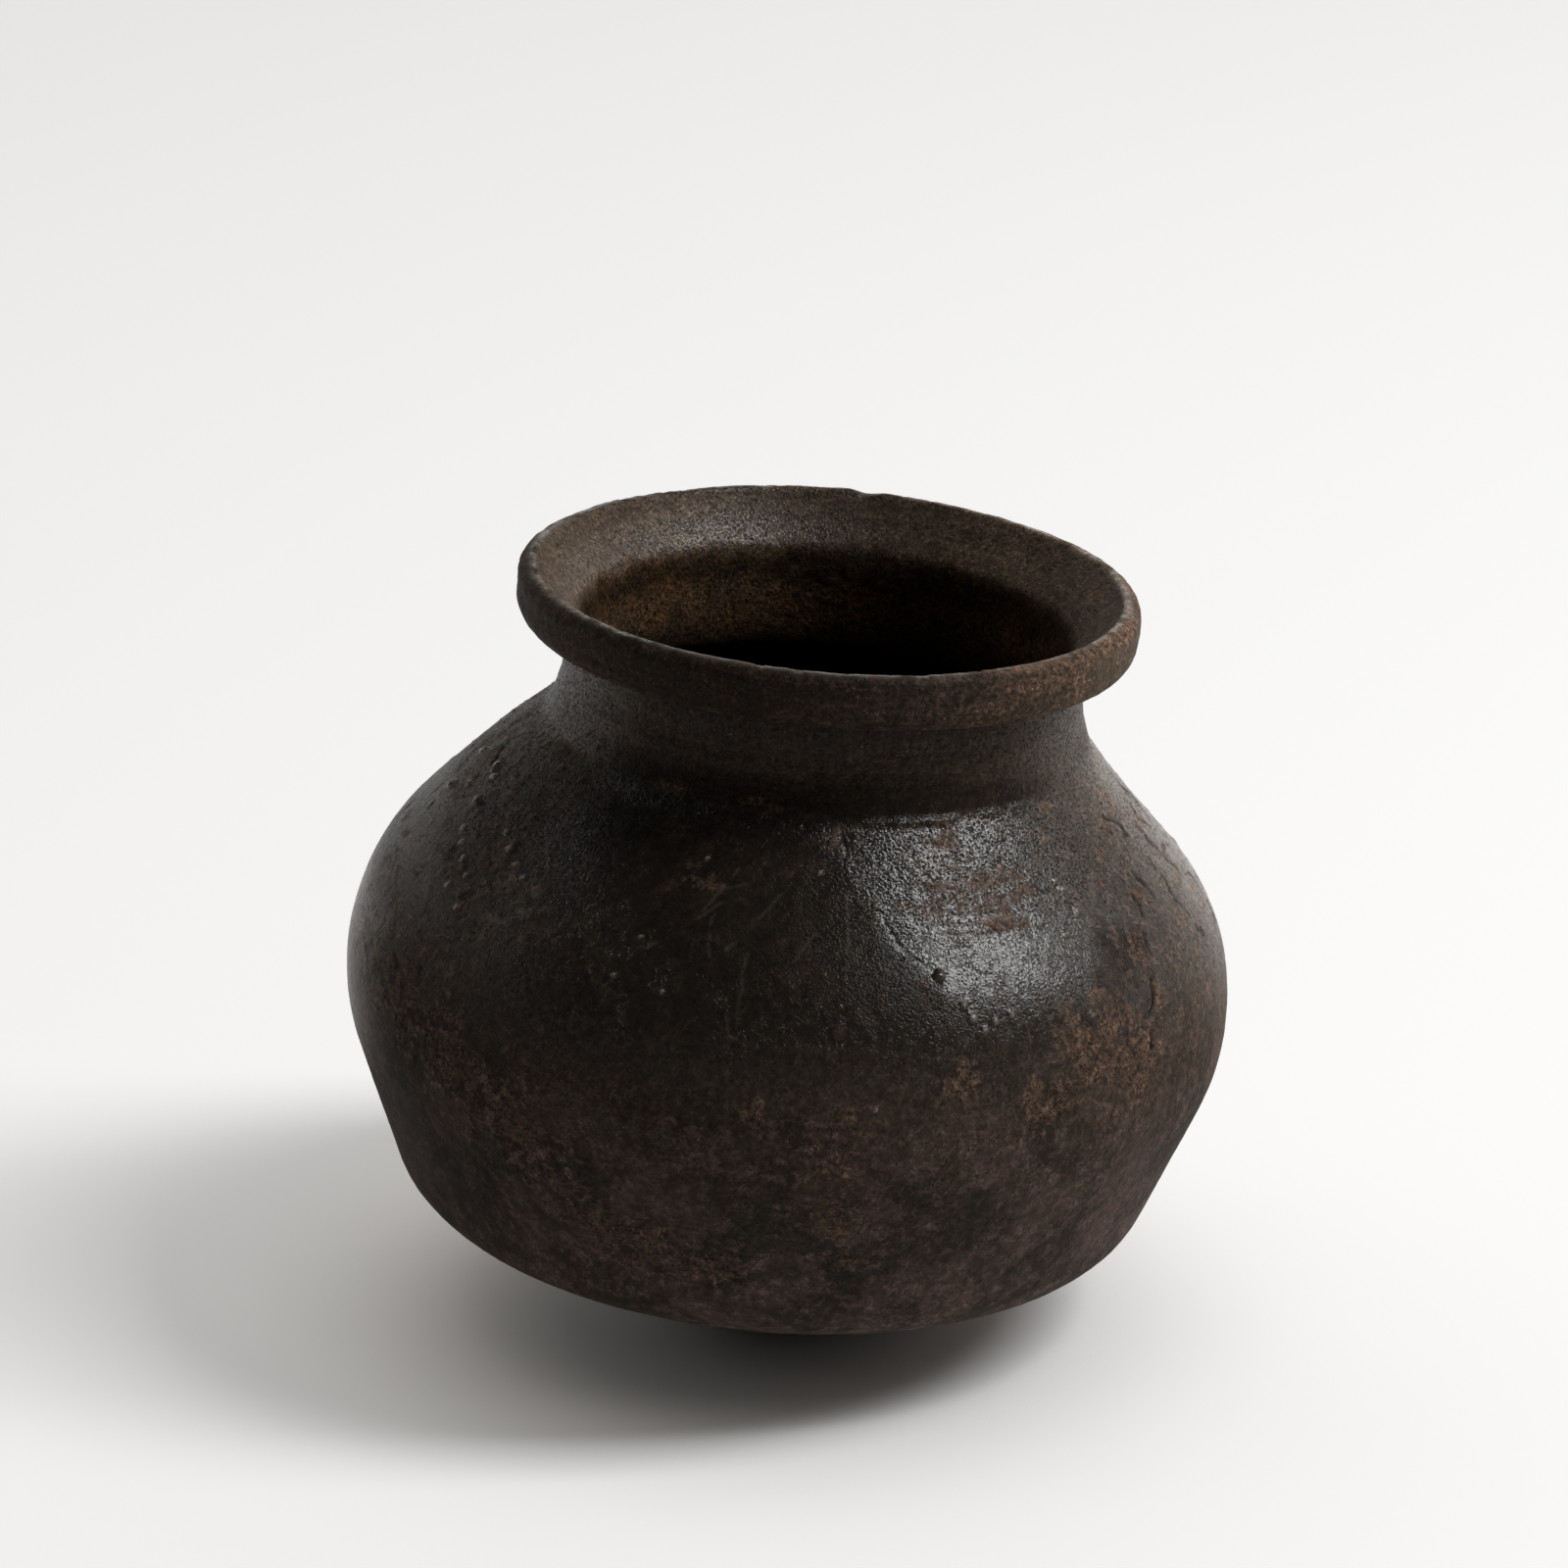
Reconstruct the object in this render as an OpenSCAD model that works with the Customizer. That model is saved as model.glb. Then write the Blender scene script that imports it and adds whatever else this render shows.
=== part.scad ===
// Round-bottomed clay pot, built from five luted sections.
// Each section is a ring turned about the pot's axis and meets the next on a bevelled face.
// The pot leans towards +X and rests on a worn flat, whose centre is the origin.

/* [Body] */
// Largest diameter of the belly
belly_d = 260; // [230:1:290]
// Height of the widest line above the bottom, along the pot's axis
belly_h = 105; // [95:1:120]
// Radius of the belly's round in section
belly_r = 63; // [45:1:75]
// Slope of the shoulder from level, in degrees
shoulder_slope = 46.5; // [42:0.5:52]
// Slope of the lower wall from level, in degrees
wall_slope = 69; // [64:0.5:74]
// Thickness of the base, the wall and the shoulder
wall = 6; // [4:0.5:8]

/* [Base] */
// Radius of the round bottom
crown_r = 120; // [90:1:150]
// Slope of the base's flank from level, in degrees
flank_slope = 24.5; // [20:0.5:29]
// Radius of the turn from the flank into the wall
turn_r = 25; // [15:1:35]
// Length of wall above the turn that belongs to the base
base_lip = 7; // [4:0.5:15]
// Diameter of the worn flat that the pot rests on
flat_d = 46; // [36:1:52]
// Lean of the pot towards +X, in degrees
lean = 4.4; // [0:0.1:6]

/* [Neck] */
// Outer diameter of the neck at its narrowest
neck_d = 151; // [130:1:170]
// Distance that the neck's foot spreads past its narrowest
foot_spread = 4.5; // [2:0.5:8]
// Height from the neck's foot to the seat of the rim
neck_h = 28.5; // [25:0.5:36]
// Radius of the hollow in the neck's side
hollow_r = 48; // [40:1:60]
// Thickness of the neck
neck_wall = 5; // [4:0.5:7]
// Distance that the neck and the rim sit off the body's axis, towards +X
collar_shift = 3; // [0:0.5:4]

/* [Rim] */
// Distance that the rim's band stands out from the neck
band_reach = 15; // [11:0.5:20]
// Height of the rim above its seat
rim_h = 17; // [14:0.5:22]
// Radius of the band's lower round
band_r = 7; // [4:0.5:9]
// Width of the lip's level top, between its outer and inner rounds
lip_flat = 0.5; // [0.5:0.5:3]
// Radius of the lip's outer round
lip_r = 4; // [2:0.5:5]
// Radius of the lip's inner round
mouth_r = 1; // [0.5:0.5:4]
// Height of the throat, where the funnel of the mouth ends, above the seat of the rim
throat_h = 3.5; // [2:0.5:5]
// Distance that the throat is eased back from the neck's inside
throat_ease = 1.5; // [0.5:0.5:2.5]

/* [Joints] */
// Bevel of the luted faces from square to the wall, in degrees
bevel = 45; // [30:1:55]

/* [Hidden] */
$fn = 180;
// Longest step between the points of a round, and its widest angle
step_length = 3;
step_angle = 9;
// How far a cutting shape runs past what it cuts
past = 20;
belly_c = [belly_d/2 - belly_r, belly_h];
crown_c = [0, crown_r];
flat_r = flat_d/2;
// Angles of the outward normals of the flank, the lower wall and the shoulder
flank_n = flank_slope - 90;
wall_n = wall_slope - 90;
shoulder_n = 90 - shoulder_slope;
// Centre of the round at the lower turn
turn_c = meet(crown_c + (crown_r - turn_r)*dir(flank_n), flank_slope,
              belly_c + (belly_r - turn_r)*dir(wall_n), wall_slope);
// Outer ends of the luted faces
base_edge = turn_c + turn_r*dir(wall_n) + base_lip*dir(wall_slope);
belly_edge = [belly_d/2, belly_h];
foot = shoulder_at(neck_d/2 + foot_spread);
seat = [neck_d/2, foot.y + neck_h];
// Inner end of the neck's foot, square to the shoulder, and the neck's inside
foot_in = foot - wall*dir(shoulder_n);
neck_in = neck_d/2 - neck_wall;
throat = [neck_in + throat_ease, seat.y + throat_h];
// Outside and top of the rim, and the centre of the lip's inner round
rim_out = neck_d/2 + band_reach;
rim_top = seat.y + rim_h;
mouth_c = [rim_out - lip_r - lip_flat, rim_top - mouth_r];
tall = rim_top + past;

// Unit vector at an angle
function dir(a) = [cos(a), sin(a)];
// Point where the line from p at angle a crosses the line from q at angle b
function meet(p, a, q, b) = p + dir(a)*cross(q - p, dir(b))/cross(dir(a), dir(b));
// Points round a centre from one angle to another
function arc(c, r, from, to) =
    let (turn = abs(to - from))
    let (n = max(1, ceil(turn/step_angle), ceil(r*turn*PI/180/step_length)))
    [for (i = [0:n]) c + r*dir(from + (to - from)*i/n)];
// Points of a list, last to first
function reversed(v) = [for (i = [len(v) - 1:-1:0]) v[i]];
// Point of the shoulder's outside at a radius
function shoulder_at(r) = meet([r, 0], 90, belly_c + belly_r*dir(shoulder_n), 180 - shoulder_slope);
// Section line of the body at a depth below its outside, from the bottom up past the neck's foot
function meridian(depth) = concat(
    arc(crown_c, crown_r - depth, -90, flank_n),
    arc(turn_c, turn_r - depth, flank_n, wall_n),
    arc(belly_c, belly_r - depth, wall_n, shoulder_n),
    [shoulder_at(foot.x - past) - depth*dir(shoulder_n)]);

// Wall of the whole body in section
module body_section() {
    polygon(concat(meridian(0), reversed(meridian(wall))));
}

// All that lies above a luted face, which starts at an outer edge and runs inwards at an angle
module above(edge, a) {
    reach = 3*wall;
    outer = edge - reach*dir(a);
    inner = edge + reach*dir(a);
    polygon([outer, inner, [0, inner.y], [0, tall], [belly_d, tall], [belly_d, outer.y]]);
}

// Face between the base and the lower wall
module above_base() above(base_edge, wall_n + 180 + bevel);

// Face between the lower wall and the shoulder
module above_belly() above(belly_edge, 180 + bevel);

// Leans the pot and sets its worn flat on the ground
module standing() {
    rest_z = sqrt(pow(crown_r, 2) - pow(flat_r, 2)) - crown_r*cos(lean);
    translate([-crown_r*sin(lean), 0, rest_z]) rotate([0, lean, 0]) children();
}

// Turns a section about the collar's axis
module collar() {
    translate([collar_shift, 0, 0]) rotate([0, 0, 90]) rotate_extrude() children();
}

// Domed dish with a worn flat under it
module base() {
    color("#33261f") difference() {
        standing() rotate_extrude() difference() {
            body_section();
            above_base();
        }
        translate([0, 0, -past]) cylinder(r = belly_d, h = past);
    }
}

// Ring of wall that flares from the base to the belly
module lower_wall() {
    color("#3a2a21") standing() rotate_extrude() difference() {
        intersection() {
            body_section();
            above_base();
        }
        above_belly();
    }
}

// Sloping ring from the belly up to the bevelled hole for the neck
module shoulder() {
    bevel_low = foot - past*dir(shoulder_n);
    bevel_high = foot + past*dir(shoulder_n);
    color("#2a211d") standing() difference() {
        rotate_extrude() intersection() {
            body_section();
            above_belly();
        }
        collar() polygon([[0, bevel_low.y], bevel_low, bevel_high, [bevel_high.x, tall], [0, tall]]);
    }
}

// Hollow-sided collar between the shoulder and the rim
module neck() {
    // The hollow is narrowest where its round stands upright
    waist_h = foot.y + sqrt(pow(hollow_r, 2) - pow(hollow_r - foot_spread, 2));
    hollow_c = [neck_d/2 + hollow_r, waist_h];
    foot_a = 180 + asin((waist_h - foot.y)/hollow_r);
    inside_h = foot_in.y + (foot_in.x - neck_in)*tan(shoulder_slope);
    color("#2d231e") standing() collar() polygon(concat(
        [[neck_in, inside_h], foot_in],
        arc(hollow_c, hollow_r, foot_a, 180),
        [seat, throat, [neck_in, seat.y - throat_h]]));
}

// Flared lip with a thick band round its outside
module rim() {
    // The funnel runs up from the throat and touches the lip's inner round
    slant = mouth_c - throat;
    funnel_slope = atan2(slant.y, slant.x) + asin(mouth_r/norm(slant));
    color("#382a22") standing() collar() polygon(concat(
        [throat, seat],
        arc([rim_out - band_r, seat.y + band_r], band_r, -90, 0),
        arc([rim_out - lip_r, rim_top - lip_r], lip_r, 0, 90),
        arc(mouth_c, mouth_r, 90, 90 + funnel_slope)));
}

base();
lower_wall();
shoulder();
neck();
rim();
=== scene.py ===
"""Looks of a smoke-blackened, round-bottomed clay pot.

The pot is one section line turned about a leaning axis. The line runs from the pole of the base
up the outside, over the lip and down the inside. Each luted section of the pot is a stretch of
that surface, closed by its joint faces, and stands for the solid of the same name.
Sizes are in millimetres, angles in degrees from the front of the pot towards +X, and heights are
measured up the pot's own axis from its pole.
"""
import itertools
import math
from types import SimpleNamespace

import bpy
import numpy as np
from mathutils import Euler, Matrix


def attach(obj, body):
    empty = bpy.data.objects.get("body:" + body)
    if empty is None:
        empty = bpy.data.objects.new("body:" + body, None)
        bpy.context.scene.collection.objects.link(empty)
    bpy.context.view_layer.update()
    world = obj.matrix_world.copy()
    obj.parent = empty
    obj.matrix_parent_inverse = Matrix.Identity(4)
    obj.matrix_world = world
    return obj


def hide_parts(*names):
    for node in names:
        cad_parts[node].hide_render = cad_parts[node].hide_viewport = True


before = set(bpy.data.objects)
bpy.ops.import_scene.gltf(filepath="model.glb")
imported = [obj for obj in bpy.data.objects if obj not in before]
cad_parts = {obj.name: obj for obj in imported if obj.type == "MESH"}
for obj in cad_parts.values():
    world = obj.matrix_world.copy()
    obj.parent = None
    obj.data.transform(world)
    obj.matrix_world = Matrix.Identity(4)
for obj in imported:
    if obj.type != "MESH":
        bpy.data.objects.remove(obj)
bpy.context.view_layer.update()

MM = 0.001

# Section sizes, as in the solids
BELLY_RADIUS = 130.0
BELLY_HEIGHT = 105.0
BELLY_ROUND = 63.0
SHOULDER_SLOPE = 46.5
WALL_SLOPE = 69.0
WALL = 6.0
CROWN_ROUND = 120.0
FLANK_SLOPE = 24.5
TURN_ROUND = 25.0
BASE_LIP = 7.0
FLAT_RADIUS = 23.0
LEAN = 4.4
NECK_RADIUS = 75.5
FOOT_SPREAD = 4.5
NECK_HEIGHT = 28.5
NECK_HOLLOW = 48.0
NECK_WALL = 5.0
COLLAR_SHIFT = 3.0
BAND_REACH = 15.0
RIM_HEIGHT = 17.0
BAND_ROUND = 7.0
LIP_FLAT = 0.5
LIP_ROUND = 4.0
MOUTH_ROUND = 1.0
THROAT_HEIGHT = 3.5
THROAT_EASE = 1.5
JOINT_BEVEL = 45.0

# Heights between which the surface goes over to the collar's own axis
SHIFT_SPAN = (165.0, 190.0)

# Columns round the pot, and how much closer they stand at the front
COLUMNS = 680
FRONT_CROWDING = 0.58

# Steps along the section: of the line itself, and of the rows on each part of it
LINE_STEP = 0.25
OUTSIDE_STEP = 0.75
COLLAR_STEP = 0.7
LIP_STEP = 0.35
INSIDE_STEP = 8.0
POLE_STEP = 2.6

# First row's distance from a pole, and the least distance at which the surface is worked out
POLE_GAP = 0.6
POLE_LIMIT = 0.02

# Widths of the bells that round the lip and the other corners, and how many widths a bell reaches
LIP_EASE = 0.35
CORNER_EASE = 1.2
BELL_WIDTHS = 4

# Distances from the lip's crest between which its bell goes over to that of the other corners
EASE_SPAN = (2.0, 8.0)

# Cells to a side of the noise lattice, and the range of place and size of a dome in its cell
LATTICE = 32
DOME_PLACE = (0.2, 0.8)
DOME_SIZE = (0.2, 0.5)


def unit(angle):
    """Unit vector at an angle in degrees."""
    return np.array([math.cos(math.radians(angle)), math.sin(math.radians(angle))])


def arc(centre, radius, start, end):
    """Points round a centre from one angle to another, one line step apart."""
    count = max(2, int(abs(math.radians(end - start))*radius/LINE_STEP))
    turn = np.radians(np.linspace(start, end, count))
    return np.asarray(centre) + radius*np.stack([np.cos(turn), np.sin(turn)], 1)


def crossing(p, a, q, b):
    """Point where the line from p at angle a crosses the line from q at angle b."""
    d, e, w = unit(a), unit(b), np.subtract(q, p)
    return np.asarray(p) + d*(w[0]*e[1] - w[1]*e[0])/(d[0]*e[1] - d[1]*e[0])


def smooth(x, low=0.0, high=1.0):
    """Eased step: 0 below low, 1 above high, and a cubic with level ends between."""
    t = np.clip((x - low)/(high - low), 0, 1)
    return t*t*(3 - 2*t)


def bell(gap, width):
    """Bell curve: 1 at no gap, falling to exp(-1/2) at a gap of one width."""
    return np.exp(-0.5*(gap/width)**2)


class Section:
    """Section line of the pot: radius and height against length along the line, with its joints."""

    def __init__(self):
        flank, wall, shoulder = FLANK_SLOPE - 90, WALL_SLOPE - 90, 90 - SHOULDER_SLOPE
        belly = np.array([BELLY_RADIUS - BELLY_ROUND, BELLY_HEIGHT])
        crown = np.array([0, CROWN_ROUND])
        turn = crossing(crown + (CROWN_ROUND - TURN_ROUND)*unit(flank), FLANK_SLOPE,
                        belly + (BELLY_ROUND - TURN_ROUND)*unit(wall), WALL_SLOPE)
        foot = crossing([NECK_RADIUS + FOOT_SPREAD, 0], 90,
                        belly + BELLY_ROUND*unit(shoulder), 180 - SHOULDER_SLOPE)
        foot_inside = foot - WALL*unit(shoulder)
        seat = np.array([NECK_RADIUS, foot[1] + NECK_HEIGHT])
        inside = NECK_RADIUS - NECK_WALL
        throat = np.array([inside + THROAT_EASE, seat[1] + THROAT_HEIGHT])
        band, top = NECK_RADIUS + BAND_REACH, seat[1] + RIM_HEIGHT
        mouth = np.array([band - LIP_ROUND - LIP_FLAT, top - MOUTH_ROUND])
        slant = mouth - throat
        funnel = math.degrees(math.atan2(slant[1], slant[0]) + math.asin(MOUTH_ROUND/np.hypot(*slant)))
        waist = foot[1] + math.sqrt(NECK_HOLLOW**2 - (NECK_HOLLOW - FOOT_SPREAD)**2)
        hollow = [NECK_RADIUS + NECK_HOLLOW, waist]
        foot_angle = 180 + math.degrees(math.asin((waist - foot[1])/NECK_HOLLOW))
        base_edge = turn + TURN_ROUND*unit(wall) + BASE_LIP*unit(WALL_SLOPE)
        belly_edge = belly + [BELLY_ROUND, 0]
        reach = WALL/math.cos(math.radians(JOINT_BEVEL))
        inside_foot = foot_inside[1] + (foot_inside[0] - inside)*math.tan(math.radians(SHOULDER_SLOPE))
        corners = np.vstack([
            arc(crown, CROWN_ROUND, -90, flank),
            arc(turn, TURN_ROUND, flank, wall),
            arc(belly, BELLY_ROUND, wall, shoulder),
            arc(hollow, NECK_HOLLOW, foot_angle, 180),
            [seat],
            arc([band - BAND_ROUND, seat[1] + BAND_ROUND], BAND_ROUND, -90, 0),
            arc([band - LIP_ROUND, top - LIP_ROUND], LIP_ROUND, 0, 90),
            arc(mouth, MOUTH_ROUND, 90, 90 + funnel),
            [throat, [inside, seat[1] - THROAT_HEIGHT], [inside, inside_foot], foot_inside],
            arc(belly, BELLY_ROUND - WALL, shoulder, wall),
            arc(turn, TURN_ROUND - WALL, wall, flank),
            arc(crown, CROWN_ROUND - WALL, flank, -90)])
        length = np.r_[0, np.cumsum(np.hypot(*np.diff(corners, axis=0).T))]
        self.length = np.arange(0, length[-1] + LINE_STEP/2, LINE_STEP)
        self.radius = np.interp(self.length, length, corners[:, 0])
        self.height = np.interp(self.length, length, corners[:, 1])
        self.end = self.length[-1]
        self.base = self.station(base_edge)
        self.belly = self.station(belly_edge)
        self.foot = self.station(foot)
        self.seat = self.station(seat)
        self.throat = self.station(throat)
        self.foot_inside = self.station(foot_inside)
        self.belly_inside = self.station(belly_edge + reach*unit(180 + JOINT_BEVEL))
        self.base_inside = self.station(base_edge + reach*unit(wall + 180 + JOINT_BEVEL))
        self.lip = self.station([mouth[0], top])
        self.ease()

    def station(self, point):
        """Length along the line of its nearest place to a point."""
        return self.length[np.argmin(np.hypot(self.radius - point[0], self.height - point[1]))]

    def averaged(self, width):
        """Radius and height averaged along the line with a bell weight, mirrored past the two poles."""
        count = int(BELL_WIDTHS*width/LINE_STEP)
        weight = bell(np.arange(-count, count + 1)*LINE_STEP, width)
        weight /= weight.sum()
        r, h = self.radius, self.height
        r = np.r_[-r[count:0:-1], r, -r[-2:-count - 2:-1]]
        h = np.r_[h[count:0:-1], h, h[-2:-count - 2:-1]]
        return np.array([np.convolve(v, weight, "valid") for v in (r, h)])

    def ease(self):
        """Rounds the corners: a narrow bell at the lip's crest goes over to a wide one away from it."""
        fine, soft = self.averaged(LIP_EASE), self.averaged(CORNER_EASE)
        self.radius, self.height = fine + smooth(np.abs(self.length - self.lip), *EASE_SPAN)*(soft - fine)
        self.radius[[0, -1]] = 0
        along = np.gradient(self.radius), np.gradient(self.height)
        size = np.hypot(*along)
        self.across = along[1]/size, -along[0]/size

    def at(self, length):
        """Radius, height and outward normal (radial, upward) at a length along the line."""
        return [np.interp(length, self.length, v) for v in (self.radius, self.height, *self.across)]

    def outside(self, height):
        """Length along the line where the outside reaches a height."""
        part = self.length <= self.lip
        return np.interp(height, np.maximum.accumulate(self.height[part]), self.length[part])


POT = Section()


def noise(points, cell, seed):
    """Smooth noise from -1 to 1: random values on a cubic lattice, eased between by a quintic."""
    table = np.random.default_rng(seed).uniform(-1, 1, (LATTICE,)*3)
    q = points/cell
    low = np.floor(q).astype(int)
    f = q - low
    f = f*f*f*(f*(6*f - 15) + 10)
    total = 0
    for corner in itertools.product((0, 1), repeat=3):
        k = (low + corner) % LATTICE
        share = np.where(corner, f, 1 - f).prod(-1)
        total = total + share*table[k[..., 0], k[..., 1], k[..., 2]]
    return total


def layers(points, cell, count, seed):
    """Sum of noise layers, each of half the cell and half the height of the one before."""
    return sum(noise(points, cell/2**i, seed + i)/2**i for i in range(count))


def domes(points, cell, share, seed):
    """Beads from 0 to 1: a share of lattice cells holds a round dome of random place and size."""
    rng = np.random.default_rng(seed)
    offset = rng.uniform(*DOME_PLACE, (LATTICE, LATTICE, LATTICE, 3))
    size = rng.uniform(*DOME_SIZE, (LATTICE,)*3)*(rng.uniform(0, 1, (LATTICE,)*3) < share)
    q = points/cell
    low = np.floor(q).astype(int)
    best = np.zeros(points.shape[:-1])
    for step in itertools.product((-1, 0, 1), repeat=3):
        c = low + step
        k = tuple(np.moveaxis(c % LATTICE, -1, 0))
        gap = np.linalg.norm(q - c - offset[k], axis=-1)
        dome = np.clip(1 - (gap/np.maximum(size[k], 1e-6))**2, 0, 1)**1.5*size[k]*2
        best = np.maximum(best, dome)
    return best


# Cell and seeds of the noise that makes drawn lines wobble
SWAY_CELL = 4.0
SWAY_SEEDS = (71, 72)


class Chart:
    """Surface laid flat: length along the section, angle and base place of each point, in mm."""

    def __init__(self, length, angle):
        self.length, self.angle = np.meshgrid(length, angle, indexing="ij")
        r, h, self.out, self.up = POT.at(self.length)
        self.radius, self.height = r, h
        self.sine, self.cosine = np.sin(self.angle), np.cos(self.angle)
        self.degrees = np.degrees(self.angle)
        self.points = np.stack([r*self.sine, -r*self.cosine, h], -1)
        self.sway = [noise(self.points, SWAY_CELL, seed) for seed in SWAY_SEEDS]

    def offsets(self, angle, height):
        """Distance round the pot and along its section from a place on the outside."""
        here = POT.outside(height)
        turn = (self.angle - math.radians(angle) + math.pi) % (2*math.pi) - math.pi
        return turn*POT.at(here)[0], self.length - here

    def patch(self, angle, height, half_round, half_along):
        """Soft oval: 1 at its middle, 0 on its edge and negative beyond, by distance from the middle."""
        x, y = self.offsets(angle, height)
        return 1 - np.hypot(x/half_round, y/half_along)

    def nearness(self, path, width, wobble):
        """1 on a path of straight runs, falling to 0 at a width from it, wobbled by noise."""
        x, y = self.offsets(*path[0])
        x = x + wobble*self.sway[0]
        y = y + wobble*self.sway[1]
        start = np.zeros(2)
        radius = POT.at(POT.outside(path[0][1]))[0]
        gap = np.full(x.shape, np.inf)
        for angle, height in path[1:]:
            end = np.array([math.radians(angle - path[0][0])*radius,
                            POT.outside(height) - POT.outside(path[0][1])])
            run = end - start
            along = np.clip(((x - start[0])*run[0] + (y - start[1])*run[1])/(run @ run), 0, 1)
            gap = np.minimum(gap, np.hypot(x - start[0] - along*run[0], y - start[1] - along*run[1]))
            start = end
        return np.clip(1 - gap/width, 0, 1)

    def traces(self, paths, width, wobble):
        """Nearness to the nearest of several paths."""
        return np.max([self.nearness(path, width, wobble) for path in paths], axis=0)


# Places rubbed or scorched to brown clay: angle, height, half length round, half length up, strength
WORN = (
    (31, 165.5, 22, 10, 0.75), (25, 177, 6, 7, 0.6), (33, 157.5, 9, 1.8, 0.9), (43, 128, 24, 12, 0.75),
    (34, 112, 14, 10, 0.7), (50, 122, 14, 14, 0.75), (56.5, 139, 3, 12, 0.9), (21.5, 124, 8, 6, 0.75),
    (-63, 120, 15, 10, 0.75), (-55, 112, 15, 10, 0.8), (-47, 106, 15, 10, 1.0), (-40, 98, 14, 10, 1.0),
    (-35, 90, 11, 8, 0.9), (-9.5, 184.8, 3, 1.5, 0.8), (-22, 68, 20, 7, 0.7), (-12, 58, 34, 8, 0.5),
    (-4.2, 112, 2.5, 5, 0.85), (-14, 106, 6, 3, 0.5), (6, 100, 11, 18, 0.55), (7, 84, 10, 14, 0.6),
    (8.5, 65, 8, 7, 0.75), (-15, 185.5, 5, 1.6, 0.8), (4.5, 178, 3, 4, 0.7), (-61, 182.7, 9, 2.5, 0.85),
    (-16.5, 167, 7, 4, 0.45), (-32, 184.5, 6, 2.2, 0.8), (120, 130, 24, 14, 0.7), (160, 112, 26, 12, 0.7),
    (-150, 120, 20, 16, 0.8), (-120, 84, 22, 12, 0.6), (140, 168, 20, 7, 0.6), (-135, 160, 14, 8, 0.6),
    (85, 78, 20, 12, 0.5), (175, 70, 24, 12, 0.6))

# Edges of the rim rubbed to orange-brown clay, in the same terms
WORN_LIP = (
    (42, 228.2, 16, 1.6, 0.6), (58, 227.8, 14, 2.0, 0.8), (72, 227.2, 12, 2.4, 1.0),
    (100, 227.8, 20, 2.2, 0.6), (-85, 228, 8, 1.6, 0.6), (-72, 228, 5, 1.4, 0.6),
    (-140, 228, 18, 1.6, 0.6), (170, 228, 20, 1.6, 0.5))

# Patch of whole but dull skin, its colour painted darker as shade: angle, height, half length round, half
# length up
DULL_SKIN_AND_SHADE_PATCH = (51.5, 144, 15, 14)

# Cracks: width and wobble of the lines, then their paths of (angle, height)
CRACK_TRACE = (2.4, 1.4)
CRACKS = (
    ((63.2, 154.1), (61.8, 150.3)), ((59.5, 147), (59, 141.7)), ((57, 138), (54, 129.5)),
    ((53.5, 124), (53, 120.5)), ((65.5, 109.7), (64.2, 102)),
    ((70, 172.6), (72, 170), (74.5, 168), (74.8, 165)),
    ((88.5, 166.4), (85.8, 163.7), (88, 160.4), (89.2, 156.3), (85.2, 154.3)),
    ((75.5, 160.4), (75.2, 155.2)), ((75.8, 153.4), (74.5, 147.4), (75.8, 141.7), (77.2, 134.5)),
    ((88, 146.8), (89, 140.3), (87.5, 131.2)), ((80, 172), (83, 165), (82, 157), (84, 149)),
    ((92, 172), (95, 163), (94, 152)), ((67, 160), (69, 152)), ((-87, 185.7), (-81.5, 182.2)),
    ((-86, 176), (-79, 170)), ((-90, 160), (-84, 152)), ((-96, 168), (-92, 163)),
    ((130, 150), (136, 138), (134, 128)), ((-160, 158), (-154, 146), (-156, 135)),
    ((104, 168), (109, 158)), ((170, 170), (176, 158)), ((-118, 140), (-112, 128), (-114, 120)),
    ((-130, 172), (-124, 165)))

# Hairline cracks, in the same terms
HAIRLINE_TRACE = (0.9, 0.8)
HAIRLINES = (
    ((22.5, 182.4), (22.8, 178), (24.2, 174.6), (23.5, 172.8)), ((31.3, 181), (33.8, 177.3), (37.5, 170.2)),
    ((23, 156.5), (26.5, 148), (29, 147.5)), ((24, 133), (27, 126)), ((11.5, 164), (15, 155), (20, 149.5)),
    ((5, 181), (6.5, 176), (6, 172.5)), ((36, 152), (40, 146)), ((-20, 178), (-17, 172)),
    ((55, 170), (57, 163), (56, 158)), ((-40, 140), (-37, 133)), ((3, 140), (5, 133)))

# Scratches that show as thin paler lines, in the same terms
SCRATCH_TRACE = (0.7, 0.3)
SCRATCHES = (
    ((-24.8, 146.6), (-17.8, 156.1), (-13.5, 162.1), (-9.5, 164.2)),
    ((-7.8, 159.3), (-8, 151.7), (-7.8, 146.1), (-7.8, 136.3)), ((7.3, 168.1), (6.8, 149.9)),
    ((-14.3, 158.6), (-13.2, 150.1)), ((-9.5, 137.6), (-8.5, 133.2)), ((21.2, 159.6), (30, 158.4)),
    ((24, 161), (34, 160)), ((-12, 170), (-16, 160)), ((-3, 167), (-11, 152)), ((-1, 172), (-14, 165)),
    ((2, 158), (-3, 146)), ((150, 160), (140, 148)), ((-170, 150), (-176, 138)))

# Streaks rubbed down to bare clay, in the same terms
RUB_TRACE = (1.6, 0.8)
RUBS = (
    ((50, 132.3), (47.2, 118.9)), ((42.2, 127.9), (46.5, 132.5)), ((52.8, 125.6), (51.5, 117.9)),
    ((57.5, 145.1), (55.8, 139.7)), ((57, 135.2), (56.2, 131.2)), ((172, 120), (165, 112)))

# Dull gouges across the polish, in the same terms
GOUGE_TRACE = (1.1, 0.5)
GOUGES = (
    ((20.5, 159.8), (30, 158.6), (36, 158.2)), ((24, 161.8), (35, 160.8)), ((22, 157.4), (33, 156.6)),
    ((-150, 160), (-140, 159)), ((110, 156), (118, 155.4)))

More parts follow.
